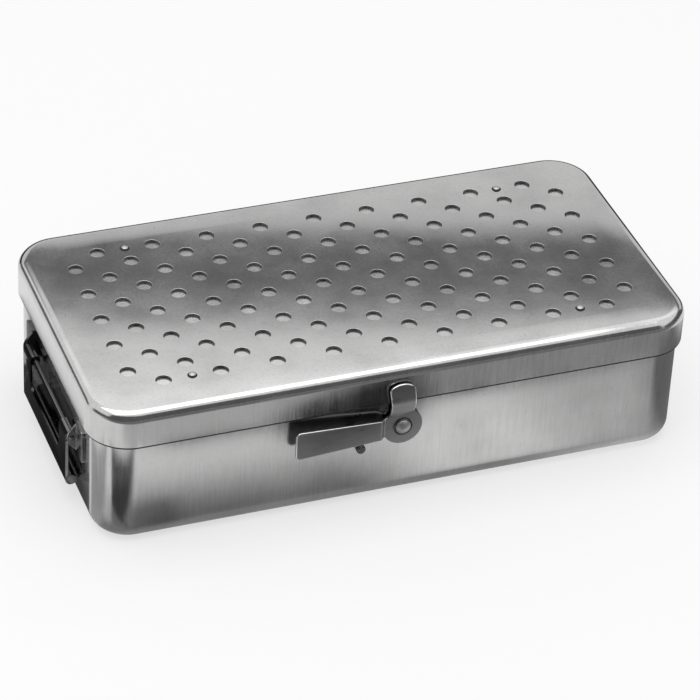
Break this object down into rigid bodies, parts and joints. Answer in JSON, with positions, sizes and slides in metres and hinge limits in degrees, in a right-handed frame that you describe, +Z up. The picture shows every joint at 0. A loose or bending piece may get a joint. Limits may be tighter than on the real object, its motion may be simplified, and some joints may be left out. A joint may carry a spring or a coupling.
{
  "type": "sterilization container",
  "caption": "Flat rounded steel instrument case with a perforated hinged lid, a sliding shutter under its holes, a front lever latch and a drop handle at each end.",
  "frame": {"origin": "centre of the base's flat bottom, on the surface that the case stands on", "axes": "+Z up, +X along the case to the right seen from the latch side, -Y towards the latch"},
  "size_m": [0.2048, 0.1099, 0.0513],
  "materials": {
    "pan_steel": "satin stainless sheet, softly polished after drawing",
    "latch_steel": "satin stainless sheet with polished edges",
    "handle_steel": "polished stainless sheet",
    "hardware_steel": "satin stainless rivets, pins, leaves and washers"
  },
  "bodies": {
    "base": {"base_pan": "pan_steel", "latch_rivet": "latch_steel", "latch_spring_washer": "hardware_steel", "latch_inner_washer": "hardware_steel", "latch_stop_pin": "hardware_steel", "hinge_left_base_leaf": "hardware_steel", "hinge_left_pin": "hardware_steel", "hinge_right_base_leaf": "hardware_steel", "hinge_right_pin": "hardware_steel", "handle_left_pin": "handle_steel", "handle_left_front_bracket": "handle_steel", "handle_left_rear_bracket": "handle_steel", "handle_right_pin": "handle_steel", "handle_right_front_bracket": "handle_steel", "handle_right_rear_bracket": "handle_steel"},
    "lid": {"lid_pan": "pan_steel", "shutter_guide_rivets": "hardware_steel", "shutter_guide_washers": "hardware_steel", "hinge_left_lid_leaf": "hardware_steel", "hinge_right_lid_leaf": "hardware_steel"},
    "shutter": {"shutter_plate": "pan_steel"},
    "latch": {"latch_lever": "latch_steel"},
    "handle_left": {"handle_left_grip": "handle_steel"},
    "handle_right": {"handle_right_grip": "handle_steel"}
  },
  "joints": [
    {"name": "lid_hinge", "type": "hinge", "parent": "base", "child": "lid", "pos_m": [0, 0.05365, 0.0387], "axis": [-1, 0, 0], "range_deg": [0, 105]},
    {"name": "shutter_slide", "type": "slide", "parent": "lid", "child": "shutter", "axis": [1, 0, 0], "range_m": [0, 0.0056]},
    {"name": "latch_turn", "type": "hinge", "parent": "base", "child": "latch", "pos_m": [0, -0.0513, 0.028], "axis": [0, 1, 0], "range_deg": [0, 90]},
    {"name": "handle_left_swing", "type": "hinge", "parent": "base", "child": "handle_left", "pos_m": [-0.10055, 0, 0.026], "axis": [0, 1, 0], "range_deg": [0, 90]},
    {"name": "handle_right_swing", "type": "hinge", "parent": "base", "child": "handle_right", "pos_m": [0.10055, 0, 0.026], "axis": [0, -1, 0], "range_deg": [0, 90]}
  ]
}
